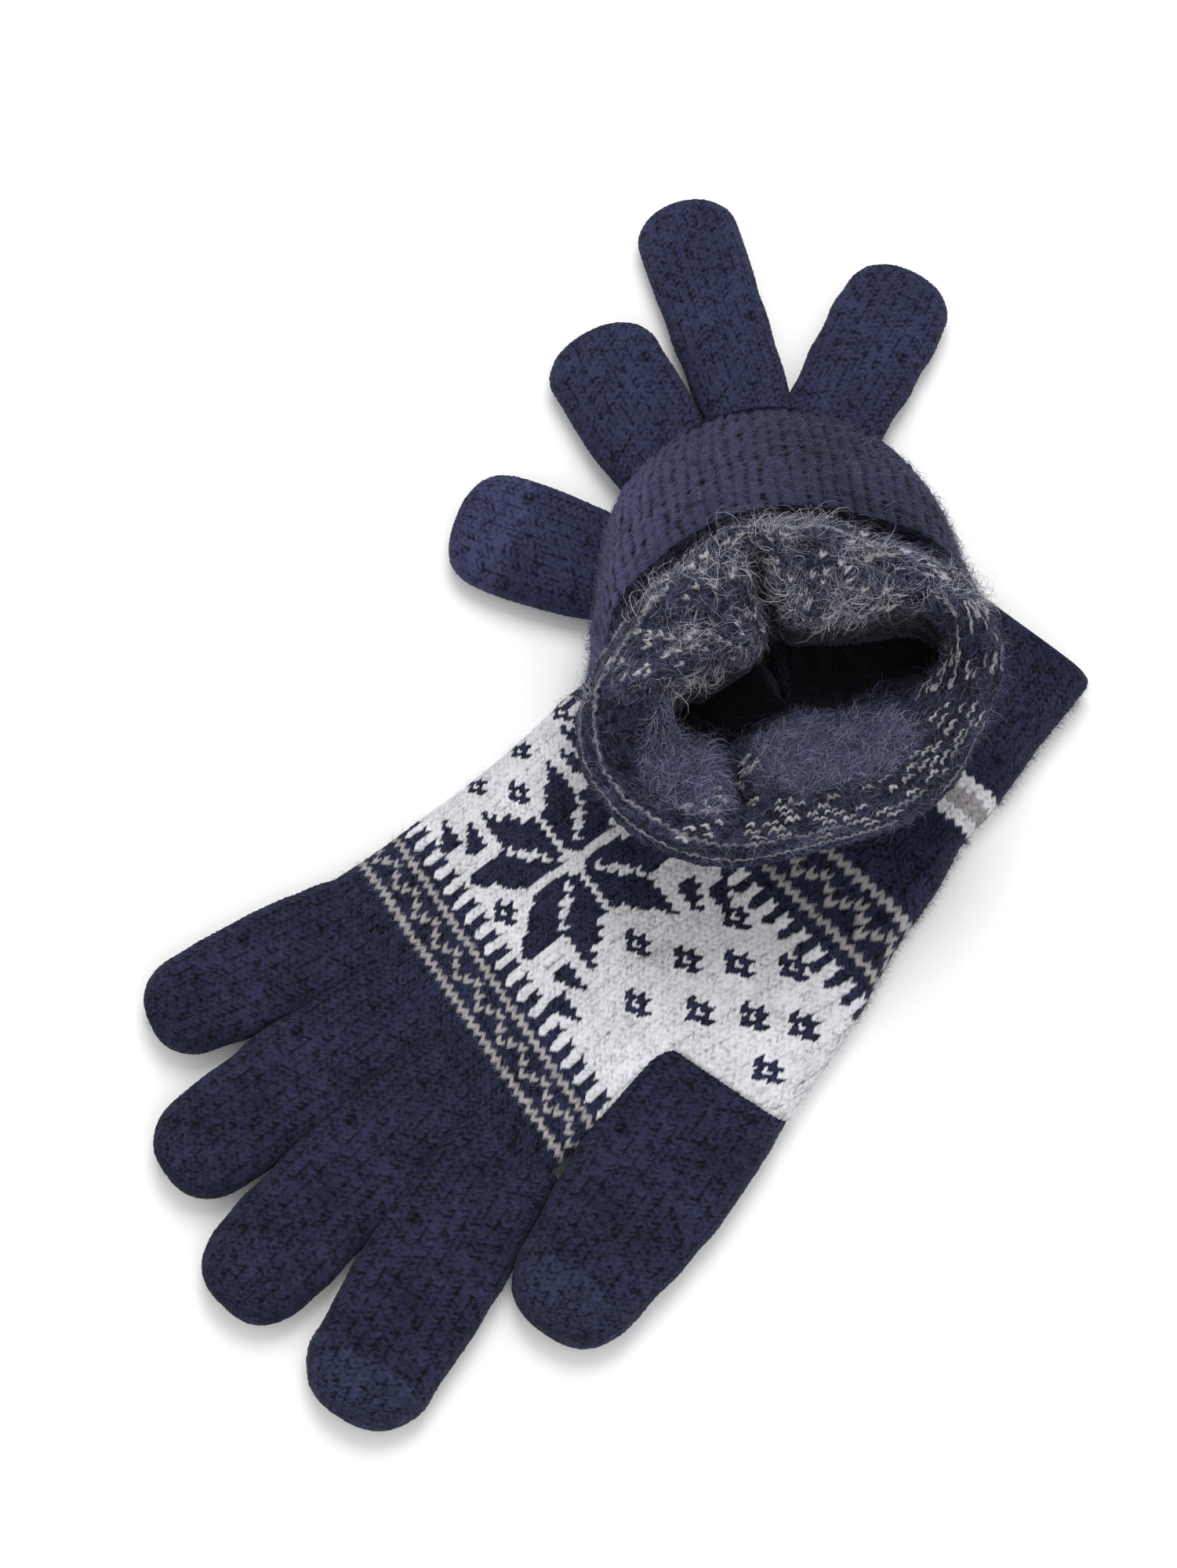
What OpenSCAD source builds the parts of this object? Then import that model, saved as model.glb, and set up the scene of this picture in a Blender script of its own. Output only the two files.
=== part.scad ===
// A pair of jacquard-knitted gloves: the left glove lies palm up, the right
// glove stands on its cuff with the cuff turned back. Millimetres, Z up,
// table plane at z = 0, cuff of the left glove opens along +Y.

/* [Node] */
// Which piece to draw

/* [Left glove, hand] */
// Length from the finger roots to the end of the cuff
hand_l = 172; // [150:1:195]
// Width across the knuckles
knuckle_w = 86; // [80:1:90]
// Width of the cuff at its open end
cuff_w = 89; // [84:1:94]
// Height of the flat hand, palm and back together
hand_t = 11.2; // [11:0.1:11.6]
// Thickness of one knitted layer
wall = 3; // [2.6:0.1:3.1]
// Angle between the cuff and the knuckles
hand_bend = 17.4; // [14:0.2:18]

/* [Left glove, fingers] */
// Length of the little finger
little_l = 53; // [46:1:58]
// Length of the ring finger
ring_l = 68; // [60:1:74]
// Length of the middle finger
middle_l = 76; // [68:1:82]
// Length of the index finger
index_l = 74.5; // [66:1:80]
// Length of the thumb
thumb_l = 71; // [62:1:76]
// Width of a finger at its root
root_w = 20.6; // [18:0.2:20.8]
// Height of a finger lying flat
finger_t = 10.6; // [9:0.1:11]
// Length of the touch-screen yarn at the index and thumb tips
touch_l = 19; // [14:1:24]

/* [Right glove] */
// Height of the rolled mouth above the table
mouth_h = 62; // [58:1:66]
// Half length of the oval mouth
mouth_a = 50; // [46:1:52]
// Half width of the oval mouth
mouth_b = 42; // [39:1:44]
// Radius of the turned-back cuff where it meets the knuckles
base_r = 44; // [42:1:45]
// Thickness of the turned-back cuff
sleeve_t = 4; // [3:0.5:4.5]
// Gap between the turned-back cuff and the hand inside it
sleeve_gap = 0.3; // [0.2:0.1:0.6]

/* [Hidden] */
// the middle of the pair is moved onto the origin
pair_x = -5.635;
pair_y = 0.46;
clear = 0.4;
root_pitch = knuckle_w / 4;
arc_points = 7;

// cuffwards distances along the hand where one knitted section ends
s_knuckle = 9;
s_band = 17;
s_palm = 82;
s_wrist_band = 102;
s_wrist = 124;
s_stripe = 136;
s_cuff = hand_l - 8;

// reference line of the hand: straight, then an arc, then straight to +Y
bend_from = 35;
bend_to = 125;
bend_r = (bend_to - bend_from) / (hand_bend * PI / 180);
cuff_x = 35.6;
cuff_y = 95;
arc_y = cuff_y - (hand_l - bend_to);

function heading(s) = s >= bend_to ? 0
    : s <= bend_from ? hand_bend
    : hand_bend * (bend_to - s) / (bend_to - bend_from);
function arc_at(a) = [cuff_x - bend_r * (1 - cos(a)), arc_y - bend_r * sin(a)];
function spine(s) = s >= bend_to ? [cuff_x, cuff_y - (hand_l - s)]
    : s >= bend_from ? arc_at(heading(s))
    : arc_at(hand_bend) + (s - bend_from) * [sin(hand_bend), cos(hand_bend)];
function place(s, u) = spine(s) + u * [cos(heading(s)), -sin(heading(s))];

// half widths to the little-finger side and to the thumb side
function half_left(s) = lookup(s, [
    [0, knuckle_w / 2], [15, knuckle_w / 2 + 0.4], [86, 50],
    [bend_to, 46], [hand_l, cuff_w / 2]]);
function half_right(s) = lookup(s, [
    [0, knuckle_w / 2], [10, knuckle_w / 2], [30, 38], [43.5, 34.3],
    [53, 65.5], [75, 58], [94, 51.4], [130, 46.5], [hand_l, cuff_w / 2]]);
function inner_left(s) = half_left(s) - wall;
function inner_right(s) = min(half_right(s), half_right(s - wall * 1.6)) - wall;

// a flat oval with a level underside: u runs across, z runs up
function oval(l, r, z0, z1, crown) = let(h = (z1 - z0) / 2, m = (z0 + z1) / 2) concat(
    [for (i = [0:arc_points]) let(a = -90 + 180 * i / arc_points)
        [r - h + h * cos(a), m + h * sin(a)]],
    [for (i = [1:3]) let(f = i / 4)
        [(r - h) * (1 - f) + (h - l) * f, z1 + crown * (1 - pow(2 * f - 1, 2))]],
    [for (i = [0:arc_points]) let(a = 90 + 180 * i / arc_points)
        [h - l + h * cos(a), m + h * sin(a)]]);

function hand_ring(s, inner) = let(
    o = inner ? oval(inner_left(s), inner_right(s), wall, hand_t - wall, 0.2)
              : oval(half_left(s), half_right(s), 0, hand_t, 0.6))
    [for (p = o) let(q = place(s, p[0])) [q[0], q[1], p[1]]];

// stations from one section end to the other, with the thumb step kept sharp
function stations(a, b) = let(n = max(2, ceil((b - a) / 7))) concat([a],
    [for (s = [43.5, 43.5 + wall * 1.6, 53, 53 + wall * 1.6]) if (s > a + 1 && s < b - 1) s],
    [for (i = [1:n - 1]) let(s = a + (b - a) * i / n)
        if (s < 41 || s > 53 + wall * 1.6 + 2) s], [b]);
function sorted(v) = len(v) <= 1 ? v : let(
    p = v[0],
    lo = [for (i = [1:len(v) - 1]) if (v[i] < p) v[i]],
    hi = [for (i = [1:len(v) - 1]) if (v[i] >= p) v[i]])
    concat(sorted(lo), [p], sorted(hi));

function flat(v) = [for (r = v) for (p = r) p];

// solid body through a list of rings with the same number of points
module loft(rings) {
    n = len(rings[0]);
    m = len(rings);
    polyhedron(points = flat(rings), faces = concat(
        [[for (j = [0:n - 1]) j]],
        [for (i = [0:m - 2]) for (j = [0:n - 1]) let(k = (j + 1) % n)
            each [[i * n + j, (i + 1) * n + k, i * n + k],
                  [i * n + j, (i + 1) * n + j, (i + 1) * n + k]]],
        [[for (j = [n - 1:-1:0]) (m - 1) * n + j]]), convexity = 6);
}

// open tube between outer and inner rings
module tube(outer, inner) {
    n = len(outer[0]);
    m = len(outer);
    w = m * n;
    polyhedron(points = concat(flat(outer), flat(inner)), faces = concat(
        [for (i = [0:m - 2]) for (j = [0:n - 1]) let(k = (j + 1) % n)
            each [[i * n + j, (i + 1) * n + k, i * n + k],
                  [i * n + j, (i + 1) * n + j, (i + 1) * n + k],
                  [w + i * n + j, w + i * n + k, w + (i + 1) * n + k],
                  [w + i * n + j, w + (i + 1) * n + k, w + (i + 1) * n + j]]],
        [for (j = [0:n - 1]) let(k = (j + 1) % n)
            each [[w + j, k, w + k], [w + j, j, k],
                  [w - n + j, 2 * w - n + k, w - n + k],
                  [w - n + j, 2 * w - n + j, 2 * w - n + k]]]), convexity = 8);
}

module hand_section(a, b) {
    up = sorted(stations(a, b));
    v = [for (i = [len(up) - 1:-1:0]) up[i]];
    tube([for (s = v) hand_ring(s, false)], [for (s = v) hand_ring(s, true)]);
}

// soft finger from its root: dir is degrees from -Y towards +X
function finger_w(t, l, w0, w1) = let(f = t / l)
    (w0 + (w1 - w0) * min(1, f / 0.55)) * (f < 0.8 ? 1 : sqrt(max(0.06, 1 - pow((f - 0.8) / 0.206, 2))));
function finger_h(t, l) = t > l - 9 ? finger_t - 5.5 * pow((t - l + 9) / 9, 2) : finger_t;
function finger_ring(root, dir, t, l, w0, w1, z) = let(
    d = [sin(dir), -cos(dir)], c = [cos(dir), sin(dir)],
    w = finger_w(t, l, w0, w1), h = min(finger_h(t, l), w))
    [for (p = oval(w / 2, w / 2, z, z + h, 0.3))
        let(q = root + t * d + p[0] * c) [q[0], q[1], p[1]]];
module finger(root, dir, l, w0, w1, from = 0, to = 0, z = 0) {
    end = to > 0 ? to : l;
    n = ceil((end - from) / 5);
    loft([for (i = [0:n]) finger_ring(root, dir, from + (end - from) * i / n, l, w0, w1, z)]);
}

module pair() translate([pair_x, pair_y, 0]) children();

module navy() color("#2b2e45") children();
module teal() color("#3a4468") children();
module chart() color("#c9c9d2") children();
module fuzzy() color("#45476a") children();

// ---- left glove ----
root_little = place(0, -1.5 * root_pitch);
root_ring = place(0, -0.5 * root_pitch);
root_middle = place(0, 0.5 * root_pitch);
root_index = place(0, 1.5 * root_pitch);
dir_little = -23.4;
dir_ring = -13.3;
dir_middle = -4.4;
dir_index = 8.1;
thumb_root = [74.2, -40.6];
thumb_dir = 3.2;
root_gap = 1.2;

function start(root, dir, dz) = root + dz * [sin(dir), -cos(dir)];

module left_knuckle_section() navy() pair() hand_section(0, s_knuckle);
module left_knuckle_band() chart() pair() hand_section(s_knuckle, s_band);
module left_hand_jacquard() chart() pair() hand_section(s_band, s_palm);
module left_wrist_band() chart() pair() hand_section(s_palm, s_wrist_band);
module left_wrist() navy() pair() hand_section(s_wrist_band, s_wrist);
module left_cuff_stripe() chart() pair() hand_section(s_wrist, s_stripe);
module left_cuff() navy() pair() hand_section(s_stripe, s_cuff);
module left_cuff_welt() teal() pair() hand_section(s_cuff, hand_l);
module left_little_finger() navy() pair()
    finger(start(root_little, dir_little, 3.4), dir_little, little_l - 3.4, root_w, 23);
module left_ring_finger() navy() pair()
    finger(start(root_ring, dir_ring, 1.9), dir_ring, ring_l - 1.9, root_w, 23.4);
module left_middle_finger() navy() pair()
    finger(start(root_middle, dir_middle, 3.2), dir_middle, middle_l - 3.2, root_w, 24.6);
module left_index_finger() navy() pair()
    finger(start(root_index, dir_index, 5.4), dir_index, index_l - 5.4, root_w, 26,
        to = index_l - 5.4 - touch_l);
module left_index_tip() teal() pair()
    finger(start(root_index, dir_index, 5.4), dir_index, index_l - 5.4, root_w, 26,
        from = index_l - 5.4 - touch_l);
module left_thumb() navy() pair()
    finger(thumb_root + [0, -root_gap], thumb_dir, thumb_l, 29.5, 29.5, to = thumb_l - touch_l);
module left_thumb_tip() teal() pair()
    finger(thumb_root + [0, -root_gap], thumb_dir, thumb_l, 29.5, 29.5, from = thumb_l - touch_l);

// ---- right glove ----
base_c = [4, 66];
mouth_c = [31.5, 36];
mouth_turn = 39;
hole_c = [41, 32];
hole_a = 34;
hole_b = 26;
pad_z = 23.1;
floor_z = 23.5;
lip_z = 51;
over_left = hand_t + 1.2;
cup_points = 32;

// finger roots around the knuckles and the directions the fingers point in
rr_index = [-33.5, 43.8];
rd_index = -71.5;
rr_middle = [-41.5, 77.9];
rd_middle = -111.5;
rr_ring = [-31, 101.2];
rd_ring = -124;
rr_little = [-11.6, 112.2];
rd_little = -168.5;

// leaning oval of the standing tube, grow is added to both half axes
function cup_ring(z, grow) = let(
    f = (z - floor_z) / (lip_z - floor_z),
    c = base_c + (mouth_c - base_c) * f,
    a = base_r + (mouth_a - 3 - base_r) * f + grow,
    b = base_r + (mouth_b - 3 - base_r) * f + grow)
    [for (i = [0:cup_points - 1]) let(t = 360 * i / cup_points)
        [c[0] + a * cos(t) * cos(mouth_turn) - b * sin(t) * sin(mouth_turn),
         c[1] + a * cos(t) * sin(mouth_turn) + b * sin(t) * cos(mouth_turn), z]];
function lip_ring(z, grow) =
    [for (i = [0:cup_points - 1]) let(t = 360 * i / cup_points, a = mouth_a + grow, b = mouth_b + grow)
        [mouth_c[0] + a * cos(t) * cos(mouth_turn) - b * sin(t) * sin(mouth_turn),
         mouth_c[1] + a * cos(t) * sin(mouth_turn) + b * sin(t) * cos(mouth_turn), z]];
function hole_ring(z, grow) =
    [for (i = [0:cup_points - 1]) let(t = 360 * i / cup_points, a = hole_a + grow, b = hole_b + grow)
        [hole_c[0] + a * cos(t) * cos(mouth_turn) - b * sin(t) * sin(mouth_turn),
         hole_c[1] + a * cos(t) * sin(mouth_turn) + b * sin(t) * cos(mouth_turn), z]];

module cup_shell(z0, z1, g0, g1) {
    zs = [for (i = [0:4]) z0 + (z1 - z0) * i / 4];
    tube([for (z = zs) cup_ring(z, g0)], [for (z = zs) cup_ring(z, g1)]);
}

// plan of the left glove where the right knuckles lie over it
module left_plan() polygon(concat(
    [for (s = [70:8:hand_l]) place(s, -half_left(s) - clear)],
    [place(hand_l, -half_left(hand_l) - clear) + [0, clear], [100, cuff_y + clear], [100, 0]]));

module right_knuckle_section() navy() pair() difference() {
    union() {
        linear_extrude(height = finger_t) polygon([
            [-20, 32], [-29, 33], [-36.5, 55.5], [-44.9, 66.9], [-36.5, 88.3], [-36.2, 92],
            [-24.4, 109.4], [-21.7, 109.3], [-1.1, 113.5], [20, 104], [34, 84], [36, 66],
            [24, 55], [-8, 55]]);
        linear_extrude(height = pad_z) polygon([
            [-24, 38], [-30, 60], [-30, 84], [-20, 98], [0, 104],
            [20, 100], [34, 84], [36, 66], [24, 55], [-8, 55]]);
    }
    translate([0, 0, -1]) linear_extrude(height = over_left + 1) left_plan();
}
module right_hand_jacquard() chart() pair() {
    g = -sleeve_t - sleeve_gap;
    steps = [for (i = [0:4]) i / 4];
    loft(concat([for (f = steps) cup_ring(floor_z + (lip_z - floor_z) * f, g)],
        [for (f = steps) cup_ring(lip_z - (lip_z - floor_z - wall) * f, g - wall)]));
}
module right_wrist_band() chart() pair() tube(
    [lip_ring(lip_z, -3), lip_ring(lip_z + 3, -0.8), lip_ring(lip_z + 6, 0),
     lip_ring(lip_z + 9, -2), lip_ring(mouth_h, -7)],
    [hole_ring(lip_z, 1), hole_ring(lip_z + 3, 0), hole_ring(lip_z + 6, 0),
     hole_ring(lip_z + 9, 1), hole_ring(mouth_h, 3)]);
module right_cuff_stripe() chart() pair() cup_shell(lip_z - 5, lip_z, 0, -sleeve_t);
module right_cuff() fuzzy() pair() cup_shell(floor_z + 6, lip_z - 5, 0, -sleeve_t);
module right_cuff_welt() teal() pair() cup_shell(floor_z, floor_z + 6, 0, -sleeve_t);
module right_little_finger() navy() pair() finger(rr_little, rd_little, 45, 21, 27);
module right_ring_finger() navy() pair() finger(rr_ring, rd_ring, 58, 21, 24);
module right_middle_finger() navy() pair() finger(rr_middle, rd_middle, 36, 22, 27);
module right_index_finger() navy() pair() finger(rr_index, rd_index, 36, 24, 30, to = 36 - touch_l);
module right_index_tip() teal() pair() finger(rr_index, rd_index, 36, 24, 30, from = 36 - touch_l);
thumb_under = [6, 36];
thumb_under_dir = 84;
module right_thumb() navy() pair()
    finger(thumb_under, thumb_under_dir, 56, 26, 28, to = 56 - touch_l, z = over_left);
module right_thumb_tip() teal() pair()
    finger(thumb_under, thumb_under_dir, 56, 26, 28, from = 56 - touch_l, z = over_left);

left_knuckle_section();
left_knuckle_band();
left_hand_jacquard();
left_wrist_band();
left_wrist();
left_cuff_stripe();
left_cuff();
left_cuff_welt();
left_little_finger();
left_ring_finger();
left_middle_finger();
left_index_finger();
left_index_tip();
left_thumb();
left_thumb_tip();
right_knuckle_section();
right_hand_jacquard();
right_wrist_band();
right_cuff_stripe();
right_cuff();
right_cuff_welt();
right_little_finger();
right_ring_finger();
right_middle_finger();
right_index_finger();
right_index_tip();
right_thumb();
right_thumb_tip();
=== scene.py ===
"""A pair of jacquard-knitted gloves: the left lies flat, palm up; the right stands, its cuff turned back.

Every surface is a sheet of knitting: a grid over wales (stitch columns, k) and courses (stitch rows, r).
Each stitch is raised as a V of two legs, and its yarn colour is read from a knitting chart. Loose fibres
are ribbons. Lengths are millimetres in the layout frame of the CAD model until a mesh is made.
"""

import math

import bpy
import numpy as np
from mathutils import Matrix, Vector


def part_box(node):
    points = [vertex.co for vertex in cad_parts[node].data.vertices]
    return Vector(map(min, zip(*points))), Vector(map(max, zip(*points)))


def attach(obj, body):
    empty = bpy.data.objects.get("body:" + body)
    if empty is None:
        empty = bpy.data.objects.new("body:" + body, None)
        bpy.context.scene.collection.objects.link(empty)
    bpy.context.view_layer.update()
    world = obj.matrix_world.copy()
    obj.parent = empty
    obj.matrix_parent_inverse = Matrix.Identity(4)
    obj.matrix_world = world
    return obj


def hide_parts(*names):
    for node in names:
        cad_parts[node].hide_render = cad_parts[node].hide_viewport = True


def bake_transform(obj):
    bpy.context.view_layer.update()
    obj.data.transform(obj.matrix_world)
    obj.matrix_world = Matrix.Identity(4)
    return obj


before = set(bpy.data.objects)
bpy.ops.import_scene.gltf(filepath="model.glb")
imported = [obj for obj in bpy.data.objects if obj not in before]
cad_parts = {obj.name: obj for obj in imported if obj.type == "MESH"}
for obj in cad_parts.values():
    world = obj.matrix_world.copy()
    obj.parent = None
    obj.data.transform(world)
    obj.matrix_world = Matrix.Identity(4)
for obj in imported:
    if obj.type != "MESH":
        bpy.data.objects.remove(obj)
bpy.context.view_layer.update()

# ---------------------------------------------------------------- measures, shared with the CAD model
HAND_L = 172.0              # from the finger roots to the end of the cuff
CUFF_X, CUFF_Y = 35.6, 95.0  # middle of the cuff's end
HAND_TILT = 17.4            # degrees the hand leans away from the cuff
BEND = math.radians(HAND_TILT)
BEND_FROM, BEND_TO = 35.0, 125.0
BEND_R = (BEND_TO - BEND_FROM) / BEND
ARC_Y = CUFF_Y - (HAND_L - BEND_TO)
ROOT_PITCH = 21.5           # from one finger root to the next

COURSES = 104
COURSE = HAND_L / COURSES
ROW_MARKS = ([0, 45, 51, COURSES, COURSES + 6], [HAND_L, 100.6, 87.6, 0.0, -9.9])
PALM_WALES = 40
GUSSET_WALES = 12
WALE = 2.3
FINE = (6, 4)
COARSE = (3, 2)

# from the layout frame, in which the measures are given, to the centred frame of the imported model
welt_low, welt_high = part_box("left_cuff_welt")
SHIFT = np.array([(welt_low.x + welt_high.x) * 500 - CUFF_X, welt_high.y * 1000 - CUFF_Y, 0.0])

RNG = np.random.default_rng(11)


# ---------------------------------------------------------------- numbers
def mixed(a, b, t):
    """a where t is 0, b where it is 1."""
    return a + (b - a) * t


def ramp(a, b, x):
    """Smooth step from 0 at a to 1 at b."""
    t = np.clip((x - a) / (b - a), 0.0, 1.0)
    return t * t * (3 - 2 * t)


def table(x, xs, ys, blur=6.0):
    """Straight-line table, rounded off over the blur length."""
    return sum(np.interp(x + d * blur, xs, ys) for d in (-1, -0.6, -0.2, 0.2, 0.6, 1)) / 6


def around(angle, degrees, values):
    """Closed smooth curve through values given at rising degrees."""
    d = np.array(degrees + [degrees[0] + 360], float)
    v = np.array(values + [values[0]], float)
    a = np.degrees(angle)
    total = 0
    for step in (-9, -5, -2, 2, 5, 9):
        total = total + np.interp((a + step - d[0]) % 360 + d[0], d, v)
    return total / 6


def chance(*cells):
    """Repeatable number from 0 to 1 for whole-number cells."""
    total = 0.0
    for cell, weight in zip(cells, (12.9898, 78.233, 37.719)):
        total = total + cell * weight
    s = np.sin(total) * 43758.5453
    return s - np.floor(s)


def cloud(x, y, seed=0.0):
    """Smooth noise from -1 to 1, one blob per unit."""
    i, j = np.floor(x), np.floor(y)
    fx, fy = x - i, y - j
    fx, fy = fx * fx * (3 - 2 * fx), fy * fy * (3 - 2 * fy)
    a, b = chance(i, j, seed), chance(i + 1, j, seed)
    c, d = chance(i, j + 1, seed), chance(i + 1, j + 1, seed)
    return 2 * mixed(mixed(a, b, fx), mixed(c, d, fx), fy) - 1


def linear(rgb):
    """Screen colour (0 to 255) as linear light."""
    c = np.array(rgb, float) / 255
    return np.where(c <= 0.04045, c / 12.92, ((c + 0.055) / 1.055) ** 2.4)


# ---------------------------------------------------------------- yarns
# colour, how dark the painted shade in the gaps between its legs goes, unevenness from stitch to stitch
YARNS = [
    (linear((40, 43, 66)), 0.95, 0.34),     # navy
    (linear((213, 212, 218)), 0.34, 0.05),  # white
    (linear((158, 154, 155)), 0.50, 0.08),  # grey
    (linear((45, 50, 74)), 0.95, 0.34),     # touch-screen yarn
    (linear((51, 53, 80)), 0.95, 0.30),     # brushed cuff
    (linear((52, 54, 76)), 0.95, 0.70),     # wrong side of the jacquard
    (linear((176, 175, 178)), 0.45, 0.30),  # floats on the wrong side
    (linear((48, 52, 79)), 0.85, 0.18),     # navy fuzzed over
    (linear((58, 61, 93)), 0.85, 0.18),     # touch-screen yarn fuzzed over
    (linear((126, 126, 134)), 0.60, 0.25),  # thin lines on the wrong side
    (linear((40, 43, 66)), 0.95, 0.34),     # navy of the small spots, which swell over their neighbours
]
NAVY, WHITE, GREY, TOUCH, BRUSHED, WRONG, FLOAT, FUZZED, FUZZED_TOUCH, LINE, SPOT = range(len(YARNS))
TONE = np.array([y[0] for y in YARNS])
# strength of the painted shade in the gaps between a yarn's legs
GAP_SHADE = np.array([y[1] for y in YARNS])
UNEVEN = np.array([y[2] for y in YARNS])


def stitch(k, r, slant=0.85):
    """Height (0 to 1) of V stitches pointing to the fingertips, and each point's place in the stitches."""
    k, r = k + 0.13 * cloud(k * 0.9, r * 0.9, 43.0), r + 0.2 * cloud(k * 1.1, r * 0.8, 44.0)
    across = 1 - np.abs(2 * (k % 1.0) - 1)
    lean = r - slant * (across - 0.5)
    leg = np.clip(np.sin(np.pi * across), 0, 1) ** 0.55 + 0.5 * across ** 4
    link = np.sin(np.pi * (lean % 1.0)) ** 0.9
    return np.clip(leg * (0.2 + 0.8 * link), 0, 1), k, lean


def rib(k, r):
    """Height of narrow ribs parted by a column of small holes, and each point's place in the stitches."""
    k, r = k + 0.16 * cloud(k * 0.7, r * 0.6, 45.0), r + 0.3 * cloud(k * 0.8, r * 0.8, 46.0)
    gap = np.abs(2 * (k % 1.0) - 1)
    hole = np.exp(-((1 - gap) / 0.42) ** 2) * np.sin(np.pi * (r % 1.0)) ** 1.5
    hole = hole * (0.35 + 0.95 * chance(np.floor(k + 0.5), np.floor(r), 51.0))
    height = 0.68 + 0.2 * (1 - gap ** 2.0) + 0.1 * np.sin(np.pi * (r % 1.0)) - 0.85 * hole
    return np.clip(height, 0, 1), k + 0.5, r


def yarn_colour(kind, height, wale, course, k, r):
    """Yarn's tone, with painted shade in the gaps between its legs, and uneven from stitch to stitch."""
    side = wale * 2 + (k - wale > 0.5)
    deep = 0.15 + 1.1 * chance(side, course, 17.0)
    deep = np.where((kind == WHITE) & (chance(side, course, 23.0) > 0.93), 1.9, deep)
    # painted shade in the gaps between the legs, deeper in random patches and where the stitch lies low
    grain = ramp(0.25, 0.75, cloud(k * 2.3, r * 1.6, 61.0) + 0.5 * (0.6 - height))
    shade_in_gaps = np.clip(GAP_SHADE[kind] * (deep * (1 - ramp(0.08, 0.78, height)) + 0.55 * grain), 0, 0.95)
    uneven = UNEVEN[kind] * (chance(wale, course, 3.0) - 0.5)
    broad = UNEVEN[kind] * 0.6 * cloud(k / 5.0, r / 7.0, 5.0)
    return TONE[kind] * np.clip((1 - shade_in_gaps) * (1.04 + uneven + broad), 0.03, 2.0)[..., None]


# ---------------------------------------------------------------- sheets of knitting
def grid_quads(first, last, n):
    """Vertex numbers of the quads between rows first and last of a grid with n points to a row."""
    i, j = np.meshgrid(np.arange(first, last), np.arange(n - 1), indexing="ij")
    return np.stack([i * n + j, i * n + j + 1, (i + 1) * n + j + 1, (i + 1) * n + j], -1).reshape(-1, 4)


def normals_of(points, side):
    dk = np.gradient(points, axis=1)
    dr = np.gradient(points, axis=0)
    n = np.cross(dk, dr) * side
    size = np.linalg.norm(n, axis=2, keepdims=True)
    return np.where(size > 1e-9, n / np.maximum(size, 1e-9), np.array([0.0, 0.0, 1.0]))


PINCHED = 0.004  # twice the area of the smallest quad that is kept


class Sheet:
    """A grid of knitting: surface(k, r) gives points, chart(wale, course) gives yarn numbers."""

    def __init__(self, surface, wales, courses, chart, sub=FINE, relief=0.5, side=1, lumps=0.0,
                 pattern=stitch):
        nk = int(round((wales[1] - wales[0]) * sub[0])) + 1
        nr = int(round((courses[1] - courses[0]) * sub[1])) + 1
        k, r = np.meshgrid(np.linspace(*wales, nk), np.linspace(*courses, nr))
        self.k, self.r = k, r
        base = surface(k, r)
        self.normal = normals_of(base, side)
        height, across, along = pattern(k, r)
        wale, course = np.floor(across), np.floor(along)
        kind = self.yarns(chart, across, along)
        height = height * (0.8 + 0.2 * cloud(k * 3.1, r * 2.3, 19.0))
        rise = relief * (height - 0.5) * (0.75 + 0.5 * chance(wale, course, 9.0))
        bumps = cloud((base[..., 0] + base[..., 2] * 0.7) / 2.6, base[..., 1] / 2.6, 21.0)
        rise = rise + lumps * bumps
        self.points = base + self.normal * rise[..., None]
        self.colour = yarn_colour(kind, height, wale, course, k, r)
        if np.allclose(base[:, 0], base[:, -1]):
            self.points[:, -1] = self.points[:, 0]
            self.colour[:, -1] = self.colour[:, 0]
        self.kind = kind

    @staticmethod
    def yarns(chart, across, along):
        """Yarn of every point; dark stitches crowd white ones beside them, and small spots swell."""
        w0, c0 = int(across.min()) - 1, int(along.min()) - 2
        w, c = np.meshgrid(np.arange(w0, across.max() + 2), np.arange(c0, along.max() + 2))
        cells = chart(w.astype(int), c.astype(int))

        def yarn_at(a, b):
            return cells[np.floor(b).astype(int) - c0, np.floor(a).astype(int) - w0]
        kind = yarn_at(across, along)
        for step in (-0.2, 0.2):
            crowded = (yarn_at(across + step, along) == NAVY) & (yarn_at(across - 5 * step, along) == WHITE)
            kind = np.where((kind == WHITE) & crowded, NAVY, kind)
        for da, db in ((-0.12, 0), (0.12, 0), (0, -0.2), (0, 0.2)):
            kind = np.where(yarn_at(across + da, along + db) == SPOT, SPOT, kind)
        return kind

    def faces(self, rows=None):
        """Vertex numbers of the quads between two grid rows, leaving out those pinched to nothing."""
        nr, nk = self.k.shape
        quads = grid_quads(*(rows or (0, nr - 1)), nk)
        p = self.points.reshape(-1, 3)
        a = p[quads[:, 2]] - p[quads[:, 0]]
        b = p[quads[:, 3]] - p[quads[:, 1]]
        return quads[np.linalg.norm(np.cross(a, b), axis=1) > PINCHED]

    def part(self, courses=None, flip=False):
        """Points, faces and colours of the whole sheet, or of a band of courses."""
        rows = None
        if courses:
            rise = self.r[:, 0]
            rows = (int(np.argmin(np.abs(rise - courses[0]))), int(np.argmin(np.abs(rise - courses[1]))))
        quads = self.faces(rows)
        if flip:
            quads = quads[:, ::-1]
        used, packed = np.unique(quads, return_inverse=True)
        return (self.points.reshape(-1, 3)[used], packed.reshape(quads.shape),
                self.colour.reshape(-1, 3)[used], 0)


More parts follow.
